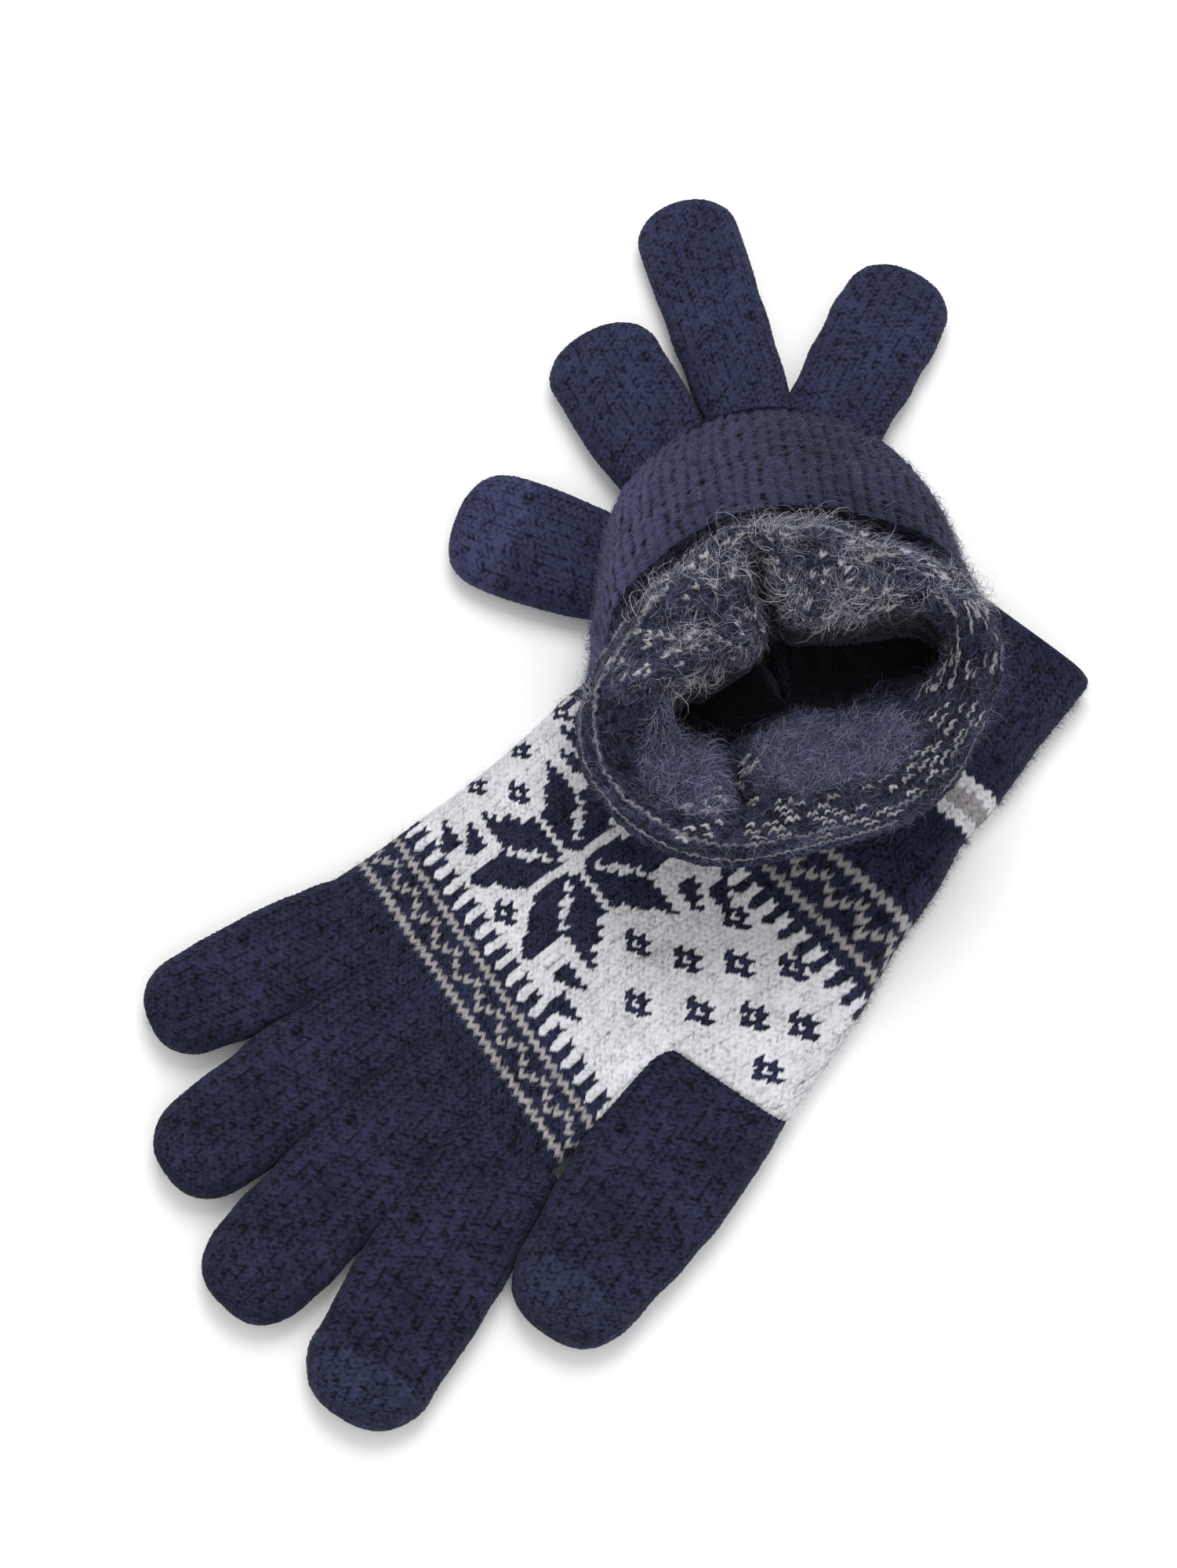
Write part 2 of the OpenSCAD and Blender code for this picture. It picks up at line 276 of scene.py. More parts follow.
def fibres(sheet, count, length, tones, lift=0.6, width=0.09, curl=0.9, where=None, points=5):
    """Loose hairs as thin ribbons rooted on a sheet, in the sheet's own curl."""
    flat_p = sheet.points.reshape(-1, 3)
    flat_n = sheet.normal.reshape(-1, 3)
    pool = np.arange(len(flat_p))
    if where is not None:
        pool = pool[where.reshape(-1)]
    root = pool[RNG.integers(0, len(pool), count)]
    p, n = flat_p[root], flat_n[root]
    drift = RNG.normal(size=(count, 3))
    drift -= n * np.sum(drift * n, axis=1, keepdims=True)
    drift /= np.linalg.norm(drift, axis=1, keepdims=True)
    turn = np.cross(n, drift)
    reach = RNG.uniform(*length, (count, 1))
    bend = np.clip(RNG.normal(0, curl, (count, 1)), -1.5, 1.5)
    rise = lift * RNG.uniform(0.3, 1.3, (count, 1))
    t = np.linspace(0, 1, points)
    path = np.stack([p + reach * (drift * np.sin(s * 1.4) * 0.75 + turn * bend * s * s * 0.6
                                  + n * rise * np.sin(s * 2.2)) - n * 0.15 for s in t], 1)
    thin = np.array([1.0, 0.9, 0.75, 0.55, 0.2])[:points]
    edge = (turn * 0.8 + n * 0.5)[:, None, :] * width * thin[None, :, None]
    verts = np.stack([path - edge, path + edge], 2).reshape(-1, 3)
    start = (np.arange(count) * points * 2)[:, None]
    step = (np.arange(points - 1) * 2)[None, :]
    a = (start + step).reshape(-1)
    quads = np.stack([a, a + 1, a + 3, a + 2], 1)
    tone = np.array([linear(c) for c in tones])[RNG.integers(0, len(tones), count)]
    tone = tone * RNG.uniform(0.7, 1.2, (count, 1))
    return verts, quads, np.repeat(tone, points * 2, axis=0), 1


# ---------------------------------------------------------------- materials
def node(tree, kind, **values):
    made = tree.nodes.new(kind)
    for name, value in values.items():
        setattr(made, name, value)
    return made


def noise(tree, place, scale, detail, distortion=0.0):
    """Noise over the object's own coordinates."""
    made = node(tree, "ShaderNodeTexNoise")
    made.inputs["Scale"].default_value = scale
    made.inputs["Detail"].default_value = detail
    made.inputs["Distortion"].default_value = distortion
    tree.links.new(place.outputs["Object"], made.inputs["Vector"])
    return made


def spread(tree, source, span, low, high):
    """The source's noise between the two values of span, stretched from low to high."""
    made = node(tree, "ShaderNodeMapRange")
    made.inputs["From Min"].default_value = span[0]
    made.inputs["From Max"].default_value = span[1]
    made.inputs["To Min"].default_value = low
    made.inputs["To Max"].default_value = high
    tree.links.new(source.outputs["Fac"], made.inputs["Value"])
    return made


def wool(name, roughness, sheen, sheen_tint, fibre_scale, fibre_depth, tint_depth):
    """Knitted yarn: the painted stitch colour, broken up by fine fibres and a soft sheen."""
    material = bpy.data.materials.new(name)
    material.use_nodes = True
    tree = material.node_tree
    tree.nodes.clear()
    out = node(tree, "ShaderNodeOutputMaterial")
    bsdf = node(tree, "ShaderNodeBsdfPrincipled")
    bsdf.inputs["Sheen Weight"].default_value = sheen
    bsdf.inputs["Sheen Roughness"].default_value = 0.45
    bsdf.inputs["Sheen Tint"].default_value = (*sheen_tint, 1)
    bsdf.inputs["Specular IOR Level"].default_value = 0.12
    yarn = node(tree, "ShaderNodeAttribute", attribute_name="yarn")
    place = node(tree, "ShaderNodeTexCoord")
    fine = noise(tree, place, fibre_scale, 5, 1.6)
    broad = noise(tree, place, 90, 3)
    shade = spread(tree, fine, (0.3, 0.7), 1 - tint_depth, 1 + tint_depth)
    patch = spread(tree, broad, (0.3, 0.7), 0.9, 1.1)
    rough = spread(tree, broad, (0, 1), roughness - 0.08, min(1.0, roughness + 0.08))
    both = node(tree, "ShaderNodeMath", operation="MULTIPLY")
    tinted = node(tree, "ShaderNodeVectorMath", operation="SCALE")
    bump = node(tree, "ShaderNodeBump")
    bump.inputs["Strength"].default_value = fibre_depth
    bump.inputs["Distance"].default_value = 0.0004
    link = tree.links.new
    link(shade.outputs["Result"], both.inputs[0])
    link(patch.outputs["Result"], both.inputs[1])
    link(yarn.outputs["Color"], tinted.inputs[0])
    link(both.outputs["Value"], tinted.inputs["Scale"])
    link(tinted.outputs["Vector"], bsdf.inputs["Base Color"])
    link(rough.outputs["Result"], bsdf.inputs["Roughness"])
    link(fine.outputs["Fac"], bump.inputs["Height"])
    link(bump.outputs["Normal"], bsdf.inputs["Normal"])
    link(bsdf.outputs["BSDF"], out.inputs["Surface"])
    return material


PLUM = (0.55, 0.56, 0.78)
SNOW = (0.9, 0.9, 0.95)
MATERIALS = {
    "navy_knit": wool("navy_wool", 0.9, 0.10, PLUM, 2400, 0.55, 0.22),
    "jacquard_knit": wool("jacquard_wool", 0.9, 0.06, SNOW, 2400, 0.5, 0.10),
    "touch_yarn": wool("touch_screen_yarn", 0.8, 0.14, PLUM, 2800, 0.5, 0.2),
    "brushed_inside": wool("brushed_wrong_side", 0.95, 0.16, PLUM, 1700, 0.8, 0.3),
}
HAIR = wool("loose_fibre", 0.7, 0.3, SNOW, 900, 0.1, 0.15)


# ---------------------------------------------------------------- meshes
def piece(name, parts, slot):
    """One mesh in metres from (points, quads, colours, material) parts; it takes the CAD node's place."""
    points, quads, tones, index = [], [], [], []
    base = 0
    for p, q, c, m in parts:
        points.append(p)
        quads.append(q + base)
        tones.append(c)
        index.append(np.full(len(q), m, np.int32))
        base += len(p)
    points = (np.concatenate(points) + SHIFT) * 0.001
    points[:, 2] = np.maximum(points[:, 2], 0.0)
    quads, tones, index = np.concatenate(quads), np.concatenate(tones), np.concatenate(index)
    mesh = bpy.data.meshes.new(name)
    mesh.vertices.add(len(points))
    mesh.vertices.foreach_set("co", points.astype(np.float32).ravel())
    mesh.loops.add(quads.size)
    mesh.loops.foreach_set("vertex_index", quads.astype(np.int32).ravel())
    mesh.polygons.add(len(quads))
    mesh.polygons.foreach_set("loop_start", np.arange(0, quads.size, 4, dtype=np.int32))
    mesh.polygons.foreach_set("material_index", index)
    mesh.polygons.foreach_set("use_smooth", np.ones(len(quads), bool))
    mesh.update(calc_edges=True)
    mesh.materials.append(MATERIALS[slot])
    mesh.materials.append(HAIR)
    layer = mesh.color_attributes.new("yarn", "FLOAT_COLOR", "POINT")
    rgba = np.ones((len(tones), 4), np.float32)
    rgba[:, :3] = np.clip(tones, 0, 1)
    layer.data.foreach_set("color", rgba.ravel())
    made = bpy.data.objects.new(name, mesh)
    bpy.context.scene.collection.objects.link(made)
    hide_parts(name)
    return made


def bend_with(made):
    """Bakes the piece's placement into its mesh."""
    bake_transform(made)


# ---------------------------------------------------------------- left hand
def heading(s):
    """How far the hand's middle line leans, s mm from the finger roots."""
    return BEND * np.clip((BEND_TO - s) / (BEND_TO - BEND_FROM), 0, 1)


def spine(s):
    """Middle line of the left hand, s mm from the finger roots towards the cuff."""
    a = heading(s)
    x = CUFF_X - BEND_R * (1 - np.cos(a))
    y = ARC_Y - BEND_R * np.sin(a) + np.maximum(s - BEND_TO, 0)
    back = np.minimum(s - BEND_FROM, 0)
    return x + back * math.sin(BEND), y + back * math.cos(BEND)


def hand_edges(s):
    """Half widths: little-finger side, palm side of the thumb, and outside of the thumb base."""
    left = table(s, [0, 15, 86, 125, 172], [45.4, 45.6, 50, 46, 44]) + 0.35 * cloud(s / 13, s * 0, 2.0)
    palm = table(s, [0, 10, 30, 44, 60, 80, 100, 130, 172], [44, 43, 39.5, 37, 39.5, 43, 45.5, 46, 44])
    gusset = np.interp(s, [42.2, 44.4, 52.2, 55, 75, 94, 125], [30, 37.6, 63.5, 65.3, 58, 51.4, 45])
    return left, palm, np.maximum(palm, gusset) + 0.35 * cloud(s / 11, s * 0, 4.0)


CREASES = (-ROOT_PITCH, 0.0, ROOT_PITCH)
SPACING = 0.115  # share by which wales lie closer at the little-finger edge, and wider by the thumb


def hand_surface(under=False, inset=0.0, radius=5.1, middle=5.35):
    """Top (or under) side of the flattened hand; surplus thumb wales are pinched into the edge."""
    def surface(k, r):
        s = np.interp(r, *ROW_MARKS)
        left, palm, right = (e - inset for e in hand_edges(s))
        round_r = radius - inset * 0.95
        quarter = math.pi * round_r / 2
        pitch = (left + palm - 2 * round_r + 2 * quarter) / PALM_WALES
        total = left + right - 2 * round_r + 2 * quarter
        widening = k * ((1 - SPACING) + SPACING * k / PALM_WALES)
        place = np.where(k < PALM_WALES, widening, (1 + SPACING) * k - SPACING * PALM_WALES)
        a = np.minimum(place * pitch, total)
        rise = np.clip(a / round_r, 0, math.pi / 2)
        fall = np.clip((a - total + quarter) / round_r, 0, math.pi / 2)
        flat = np.clip(a - quarter, 0, total - 2 * quarter)
        u = -left + round_r * (1 - np.cos(rise)) + flat + round_r * np.sin(fall)
        z = round_r * (np.sin(rise) - 1 + np.cos(fall))
        level = z / round_r
        soft = 0.35 * cloud(u / 16, s / 22, 1.0) + 0.18 * cloud(u / 6, s / 9, 7.0)
        depth = table(s, [-5, 0, 9, 16], [1.9, 1.5, 0.8, 0.0], 2)
        groove = sum(np.exp(-((u - c) / 2.4) ** 2) for c in CREASES) * depth
        if under:
            z = -z + level * (0.15 * soft + groove * 0.5)
        else:
            z = z + level * (soft + 0.25 - groove * 0.7 - 1.1 * ramp(4.0, -1.6, s))
        a = heading(s)
        x, y = spine(s)
        return np.stack([x + u * np.cos(a), y - u * np.sin(a), middle + z], -1)
    return surface


# chart: wales counted from the little-finger edge, courses from the cuff
STAR = (16, 72)
STAR_HALF = 12.3  # mm
STRIPE = (24, 31)
WRIST_LINES = (45, 51)
KNUCKLE_LINES = (92, 98)
FIELD = (57, 88)
DIAMONDS = ((27, 72), (31, 68), (34, 63), (37, 58), (30, 59), (32, 77), (36, 71), (39, 66),
            (42, 62), (44, 69), (6, 72), (2, 77), (2, 67), (2, 57), (16, 85), (16, 59))
BUD = (8.5, 10)  # inner corner of a bud, in wales and courses from the star's middle


def star(w, c):
    """Eight-pointed star: navy petals parted by one-stitch white lines."""
    x, y = np.abs(w - STAR[0]) * WALE, np.abs(c - STAR[1]) * COURSE
    far, near = np.maximum(x, y), np.minimum(x, y)
    petal = (near <= STAR_HALF) & (far - near <= STAR_HALF) & (w != STAR[0]) & (c != STAR[1])
    return petal & (np.abs(far - near) > np.where(far < 5, 1.0, 1.5))


def diamond(w, c, at_w, at_c):
    """Ring of four navy stitches."""
    dw, dc = np.abs(w - at_w), c - at_c
    return ((dw == 1) & (dc == 0)) | ((dw == 0) & ((dc == 1) | (dc == -1)))


def buds(w, c):
    """Two small leaves, one behind the other, out from each gap between the star's points."""
    a, b = np.abs(w - STAR[0] - 0.5) - BUD[0], np.abs(c - STAR[1]) - BUD[1]
    found = np.zeros(w.shape, bool)
    for da, db in ((0, 0), (2, 3)):
        found |= (a >= da) & (b >= db) & (a + b <= da + db + 2)
    return found


def zigzag(w, c, lines):
    """Line of single stitches swinging between the two lines, with one clear course on either side."""
    level = np.array([0, 1, 2, 1])[w % 4]
    return c == lines[0] + 2 + level


def hand_chart(w, c):
    """The left hand's yarns: stripe, wrist band, white field with its motifs, and knuckle band."""
    kind = np.full(w.shape, NAVY)
    field = (c >= FIELD[0]) & (c < FIELD[1])
    kind[field] = WHITE
    # comb teeth on both sides of the white field
    kind[(c >= FIELD[1]) & (c < FIELD[1] + 3) & (w % 2 == 0)] = WHITE
    kind[(c >= FIELD[0] - 3) & (c < FIELD[0]) & (w % 2 == 1)] = WHITE
    kind[field & (star(w, c) | buds(w, c))] = NAVY
    for place in DIAMONDS:
        kind[field & diamond(w, c, *place)] = SPOT
    for lines in (KNUCKLE_LINES, WRIST_LINES):
        kind[(c == lines[0]) | (c == lines[1]) | zigzag(w, c, lines)] = GREY
    # beyond the thumb's root its wales are pinched away, so they carry no pattern
    kind[(w >= PALM_WALES) & (c > KNUCKLE_LINES[0] - 2)] = NAVY
    inside = (c >= STRIPE[0]) & (c < STRIPE[1])
    kind[inside] = WHITE
    kind[inside & (c >= STRIPE[0] + 2) & (c < STRIPE[1] - 2)] = GREY
    return kind


NAVY_HAIR = ((54, 58, 84), (72, 75, 102), (36, 39, 60))
PALE_HAIR = ((196, 196, 200), (160, 160, 168), (122, 122, 140))
LEFT_BANDS = {
    "left_cuff_welt": (0, 5, "navy_knit"), "left_cuff": (5, 23, "navy_knit"),
    "left_cuff_stripe": (23, 32, "jacquard_knit"), "left_wrist": (32, 44, "navy_knit"),
    "left_wrist_band": (44, 54, "jacquard_knit"), "left_hand_jacquard": (54, 91, "jacquard_knit"),
    "left_knuckle_band": (91, 99, "jacquard_knit"), "left_knuckle_section": (99, 105, "navy_knit"),
}
CLOTH = 2.7  # from the outside of the knitting to its inside


def plain(kind):
    """A chart of one yarn."""
    return lambda w, c: np.full(w.shape, kind)


def welt_rim(top, under, inner_top, inner_under):
    """Rolled end of the cuff joining the outside to the inside, top and under halves."""
    parts = []
    for outer, inner in ((top, inner_top), (under, inner_under)):
        a, b = outer.points[0], inner.points[0]
        fine = np.linspace(0, len(a) - 1, len(b)).round().astype(int)
        a, tone = a[fine], outer.colour[0][fine]
        out = np.array([0.0, 1.6, 0.0])
        turns = math.pi * np.linspace(0, 1, 5)
        rings = np.stack([mixed(a, b, 0.5 - 0.5 * math.cos(t)) + out * math.sin(t) for t in turns])
        quads = grid_quads(0, len(turns) - 1, len(b))
        parts.append((rings.reshape(-1, 3), quads, np.tile(tone, (len(turns), 1)), 0))
    return parts


def build_left_hand():
    wales = (0, PALM_WALES + GUSSET_WALES)
    rows = (0, COURSES + 1)
    top = Sheet(hand_surface(), wales, rows, hand_chart, FINE, 0.5, side=-1)
    under = Sheet(hand_surface(under=True), wales, rows, hand_chart, COARSE, 0.35, side=1)
    inner = [Sheet(hand_surface(under=u, inset=CLOTH), wales, rows, plain(WRONG), (2, 1), 0.2, side=s)
             for u, s in ((False, 1), (True, -1))]
    pale = (top.kind == WHITE) | (top.kind == GREY)
    for name, (start, end, slot) in LEFT_BANDS.items():
        span = (start, end)
        here = (top.r >= start) & (top.r <= end)
        length = (end - start) / COURSES
        parts = [top.part(span), under.part(span, flip=True),
                 inner[0].part(span, flip=True), inner[1].part(span)]
        parts.append(fibres(top, int(9000 * length), (1.2, 3.2), NAVY_HAIR, 0.45, 0.035, where=here & ~pale))
        if pale[here].any():
            parts.append(fibres(top, int(5000 * length), (1.0, 2.6), PALE_HAIR, 0.4, 0.03, where=here & pale))
        if name == "left_cuff_welt":
            parts += welt_rim(top, under, *inner)
        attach(piece(name, parts, slot), "left_hand")


# ---------------------------------------------------------------- fingers
def tube_section(part, half, radius):
    """Point (across, up) on a flattened tube, part running once round from the left edge over the top."""
    radius = np.minimum(radius, half)
    side = math.pi * radius
    flat = 2 * (half - radius)
    a = (part % 1.0) * 2 * (side + flat)
    below = a > side + flat
    a = np.where(below, a - side - flat, a)
    rise = np.clip(a / radius, 0, math.pi / 2)
    fall = np.clip((a - side / 2 - flat) / radius, 0, math.pi / 2)
    u = -half + radius * (1 - np.cos(rise)) + np.clip(a - side / 2, 0, flat) + radius * np.sin(fall)
    z = radius * (np.sin(rise) - 1 + np.cos(fall))
    return np.where(below, -u, u), np.where(below, -z, z)


class Finger:
    """One finger tube lying on the table: a bending middle line, four widths along it, a rounded tip.

    Headings are in degrees. The tube starts the length back inside the hand, where it has only the share base
    of its height, and has risen by settle. The tip's length is the share cap of its width. A slight bow is
    given by curve.
    """

    def __init__(self, root, start_dir, end_dir, length, widths, height=9.6, wales=22, back=3.0, turn=14.0,
                 lift=0.2, curve=0.0, base=1.0, settle=2.6, cap=0.42, yarn=NAVY):
        self.base, self.settle, self.yarn = base, settle, yarn
        self.length, self.wales, self.height, self.lift, self.back = length, wales, height, lift, back
        self.widths = widths
        self.t = np.linspace(-back, length + 1, 200)
        swing = mixed(start_dir, end_dir, ramp(0, turn, self.t)) + curve * (self.t / length - 0.5)
        dx, dy = np.sin(np.radians(swing)), -np.cos(np.radians(swing))
        step = np.gradient(self.t)
        x, y = np.cumsum(dx * step), np.cumsum(dy * step)
        zero = np.argmin(np.abs(self.t))
        self.x, self.y = x - x[zero] + root[0], y - y[zero] + root[1]
        self.swing = swing
        self.cap = widths[2] * cap
        self.straight = length + back - self.cap
        self.courses = (self.straight + self.cap * math.pi / 2 * 0.98) / COURSE

    def along(self, r):
        """Place along the finger of a course, and how much of the full width is left there."""
        run = r * COURSE
        beta = np.clip((run - self.straight) / self.cap, 0, math.pi / 2 * 0.98)
        t = np.minimum(run, self.straight) - self.back + self.cap * np.sin(beta)
        return t, np.cos(beta)

    def surface(self, k, r):
        """Points of the tube; its root dips into the hand, and its last course is gathered to a point."""
        t, shrink = self.along(r)
        half = table(t, [-self.back, self.length * 0.45, self.length * 0.8, self.length], self.widths, 5) / 2
        half = half * np.maximum(shrink, 0.03) ** 0.72 * mixed(0.93, 1.0, ramp(-self.back, 6.0, t))
        half = half + 0.35 * cloud(t / 7, t * 0, self.length)
        half = np.maximum(half, 0.4)
        radius = self.height / 2 * (0.35 + 0.65 * np.maximum(shrink, 0.03) ** 0.7)
        u, z = tube_section(k / self.wales, half, radius)
        low = mixed(self.base, 1.0, ramp(-self.back, self.settle, t))
        crown = np.clip(z / radius, 0, 1) * (1 - (u / half) ** 2) * 0.6
        dent = np.clip(z / radius, 0, 1) * 0.4 * cloud(u / 9, t / 15, self.length)
        x, y = np.interp(t, self.t, self.x), np.interp(t, self.t, self.y)
        a = np.radians(np.interp(t, self.t, self.swing))
        gathered = r < self.courses - 1e-6
        u, z, crown, dent = u * gathered, z * gathered, crown * gathered, dent * gathered
        z_mid = self.lift + self.height / 2 * (1 - 0.15 * (1 - shrink))
        return np.stack([x + u * np.cos(a), y + u * np.sin(a), (z_mid + z + crown + dent) * low], -1)

    def sheet(self, chart, sub=FINE, relief=0.5):
        return Sheet(self.surface, (0, self.wales), (0, self.courses), chart, sub, relief, side=1)

    def course_at(self, from_tip):
        """Course from_tip mm of knitting before the tip, on the nearest row of points."""
        return round((self.courses * COURSE - from_tip) / COURSE * FINE[1]) / FINE[1]


TOUCH_L = 21.0  # length of knitting in touch-screen yarn


def finger_pieces(name, shape, hand, joint, tip_name=None):
    """The finger's meshes: navy, and at some tips a second piece in touch-screen yarn."""
    change = shape.course_at(TOUCH_L) if tip_name else None

    def chart(w, c):
        kind = np.full(w.shape, shape.yarn)
        if tip_name:
            kind[c >= math.floor(change)] = FUZZED_TOUCH if shape.yarn == FUZZED else TOUCH
        return kind
    sheet = shape.sheet(chart)
    spans = [(name, "navy_knit", (0, change) if tip_name else None)]
    if tip_name:
        spans.append((tip_name, "touch_yarn", (change, shape.courses)))
    for label, slot, span in spans:
        here = np.ones(sheet.k.shape, bool) if span is None else (sheet.r >= span[0]) & (sheet.r <= span[1])
        hair = fibres(sheet, int(1500 * here.mean()) + 100, (1.2, 3.0), NAVY_HAIR, 0.5, 0.035, where=here)
        made = piece(label, [sheet.part(span, flip=True), hair], slot)
        if joint:
            bend_with(made)
        else:
            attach(made, hand)


def root_at(u):
    """Point on the line of the finger roots, u mm from the hand's middle."""
    x, y = spine(np.array(0.0))
    return float(x) + u * math.cos(BEND), float(y) - u * math.sin(BEND)


def build_left_fingers():
    # finger, its root counted in pitches from the hand's middle, heading, length, widths, tip, bow
    plan = [
        ("little", -1.55, -24.5, 54.5, (26.0, 28.0, 25.4, 22.0), None, -2),
        ("ring", -0.5, -13.5, 70.5, (25.5, 28.8, 26.8, 24.0), None, 0),
        ("middle", 0.5, -4.2, 77.5, (25.5, 29.6, 28.6, 26.0), None, 1),
        ("index", 1.6, 8.6, 73.8, (29.0, 33.4, 31.4, 28.5), "left_index_tip", 1),
    ]
    for finger, place, end_dir, length, widths, tip, curve in plan:
        start_dir = mixed(-HAND_TILT, end_dir, 0.5)
        root = root_at(place * ROOT_PITCH)
        shape = Finger(root, start_dir, end_dir, length, widths, curve=curve, base=0.84)
        finger_pieces("left_%s_finger" % finger, shape, "left_hand",
                      "left_%s_fold" % finger, tip)
    thumb = Finger((73.0, -41.5), 2.4, 3.8, 71.0, (37.0, 38.2, 32.0, 29.5), height=10.4, wales=26,
                   back=7.0, base=0.7, settle=5.0)
    finger_pieces("left_thumb", thumb, "left_hand", "left_thumb_fold", "left_thumb_tip")


def build_right_fingers():
    # finger, root, heading, length, widths, tip
    plan = [
        ("index", (-33.5, 43.8), -71.5, 36.5, (27, 31.5, 31, 28.5), "right_index_tip"),
        ("middle", (-41.5, 77.9), -111.5, 35.0, (27, 30, 29.5, 28), None),
        ("ring", (-31.0, 101.2), -124.0, 57.8, (23, 25.5, 25.5, 24), None),
        ("little", (-11.6, 112.2), -168.5, 44.8, (25, 28, 28, 26), None),
    ]
    for finger, root, direction, length, widths, tip in plan:
        shape = Finger(root, direction, direction, length, widths, back=8.0, wales=24, cap=0.33, yarn=FUZZED)
        finger_pieces("right_%s_finger" % finger, shape, "right_hand",
                      "right_%s_fold" % finger, tip)
    thumb = Finger((6.0, 36.0), 84.0, 84.0, 56.0, (26, 28, 27, 25), height=9.6, lift=12.6, yarn=FUZZED)
    finger_pieces("right_thumb", thumb, "right_hand", None, "right_thumb_tip")


# ---------------------------------------------------------------- standing right glove
# places round it are angles at its middle, from the layout's x axis towards its y axis
BASE, BASE_R = np.array([4.0, 69.0]), 44.0  # its foot
CENTRE = np.array([33.7, 36.4])             # middle of its mouth
CUP_WALES = 120
RIBS = 84
OUTSIDE_COURSES, SKIRT_COURSES = 28, 8
WALL_COURSES, MOUTH_COURSES = 44, 56
# heights of the groove behind the roll, the cuff's shoulder, the rim, the bottom, and its lowest dent
GROOVE_Z, SHOULDER_Z, RIM_Z, DEEP_Z, DENT_Z = 35.5, 44.5, 45.0, 29.0, 23.0
FOLD = 148.0  # where the roll folds between its two bulges, in degrees
# soft lumps of the open wall (middle and size) and the ends of its crease, measured from the mouth's middle
LUMPS = ((-8.6, -27.5, 12.0), (9.5, -7.5, 9.5), (19.0, 4.0, 9.0))
CREASE = ((-11.3, -13.0), (5.4, -26.5))


def lumps_at(dx, dy):
    """How far a point of the open wall lies on one of its soft lumps."""
    near = [np.exp(-((dx - x) ** 2 + (dy - y) ** 2) / size ** 2) for x, y, size in LUMPS]
    return np.clip(sum(near), 0, 1.2)


def crease_at(dx, dy):
    """1 along the crease of the open wall, falling to 0 a few mm away."""
    (x0, y0), (x1, y1) = CREASE
    run, rise = x1 - x0, y1 - y0
    t = np.clip(((dx - x0) * run + (dy - y0) * rise) / (run * run + rise * rise), 0, 1)
    return np.exp(-((dx - x0 - t * run) ** 2 + (dy - y0 - t * rise) ** 2) / 3.0 ** 2)


def rim_radius(a):
    """Outline of the mouth's rim, an uneven oval that is longest between 60 and 240 degrees."""
    return around(a, [2, 26, 47, 66, 84, 98, 113, 148,
                      176, 205, 222, 239, 259, 282, 307, 326],
                  [41.8, 43.3, 49.2, 51.0, 50.0, 46.0, 45.0, 44.6,
                   43.8, 47.4, 51.9, 54.0, 52.0, 46.7, 38.6, 37.0])


def fold_at(a, width):
    """1 at the fold between the bulges, falling to 0 over the width in degrees."""
    return np.exp(-((np.degrees(a) % 360 - FOLD) / width) ** 2)


def hole_radius(a):
    """Inner edge of the roll, drawn back at the fold between its bulges, and foot of the open wall."""
    notch = 15.0 * fold_at(a, 8.5)
    return notch + around(a, [20, 45, 60, 68, 75, 86, 112, 138, 160,
                              182, 205, 218, 226, 240, 270, 310, 345],
                          [14, 25, 40, 41, 31, 22, 15.5, 15, 13.5,
                           12.5, 17, 27, 35, 22, 6, 6, 8])


def slumped(a):
    """1 where the mouth's wall has slumped inwards as a roll, 0 where it lies open."""
    d = np.degrees(a) % 360
    return ramp(44, 66, d) * (1 - ramp(222, 246, d))


def tucked(a):
    """1 where the turned-back cuff folds into a groove behind the roll."""
    d = np.degrees(a) % 360
    return ramp(66, 96, d) * (1 - ramp(184, 212, d))


def skirt_foot(a):
    """Lowest height of the bunched knuckles: the table, or the top of the left glove."""
    d = np.degrees(a) % 360
    return 12.3 - 11.6 * ramp(44, 56, d) * (1 - ramp(226, 240, d))


def hem_height(a):
    """Height of the turned-back cuff's lower edge."""
    return np.maximum(skirt_foot(a) + 1.0, 10.2)


# profile of the mouth: courses, how far in (share of the way from rim to hole), and how high
ROLL = ([0, 3, 8, 14, 20, 26, 30, 34, 44], [0, 0.02, 0.16, 0.42, 0.72, 0.95, 1.0, 0.99, 0.88],
        [GROOVE_Z, 45.5, 53.0, 57.0, 57.6, 55.0, 50.0, 43.0, 28.0])
OPEN = ([0, 3, 8, 14, 20, 26, 32, 38, 44], [0, 0.0, 0.11, 0.27, 0.44, 0.60, 0.76, 0.90, 1.0],
        [RIM_Z, 48.5, 48.0, 45.5, 42.5, 39.5, 36.5, 34.0, 32.0])


